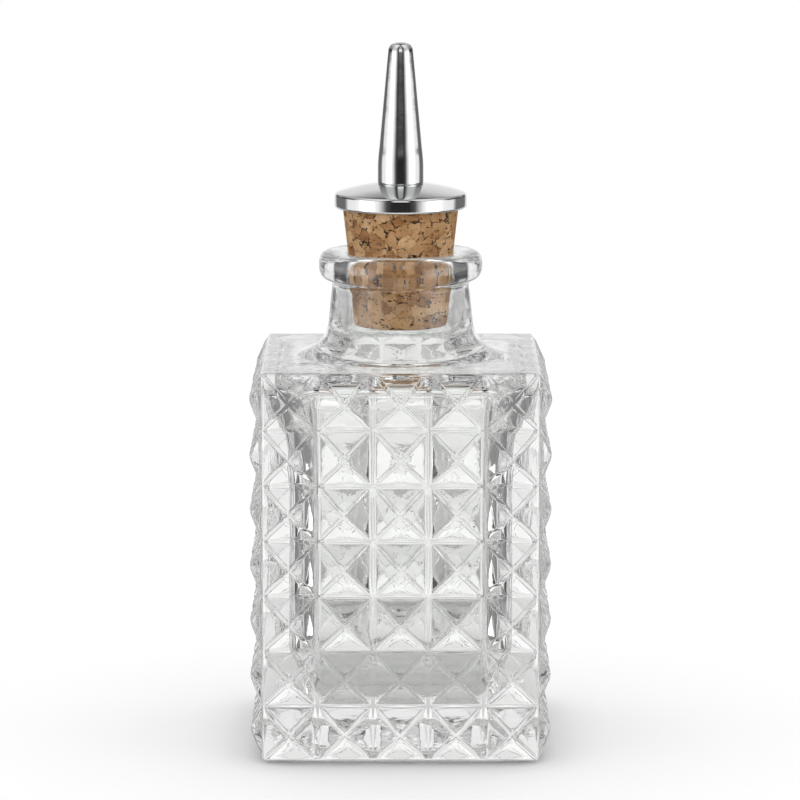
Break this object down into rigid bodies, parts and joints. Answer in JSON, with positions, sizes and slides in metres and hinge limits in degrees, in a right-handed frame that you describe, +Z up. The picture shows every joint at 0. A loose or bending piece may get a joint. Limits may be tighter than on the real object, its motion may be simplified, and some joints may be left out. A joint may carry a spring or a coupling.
{
  "type": "bitters bottle",
  "caption": "Square pressed-glass bottle with pyramid studs, closed by a tapered cork that carries a domed metal cap and a dashing spout.",
  "frame": {"origin": "centre of the base, on the surface the bottle stands on", "axes": "+Z up along the axis of the neck, cork and spout; +X and +Y square to the bottle's sides"},
  "size_m": [0.0572, 0.0572, 0.1349],
  "materials": {
    "clear_glass": "fire-polished clear",
    "cork": "agglomerated cork, matt, with dark pits",
    "bright_metal": "polished",
    "tube_metal": "drawn, bright"
  },
  "bodies": {
    "bottle": {"bottle": "clear_glass"},
    "stopper": {"cork": "cork", "cap": "bright_metal", "spout": "bright_metal", "stem_tube": "tube_metal"}
  },
  "joints": [
    {"name": "stopper_lift", "type": "slide", "parent": "bottle", "child": "stopper", "axis": [0, 0, 1], "range_m": [0, 0.04]}
  ]
}
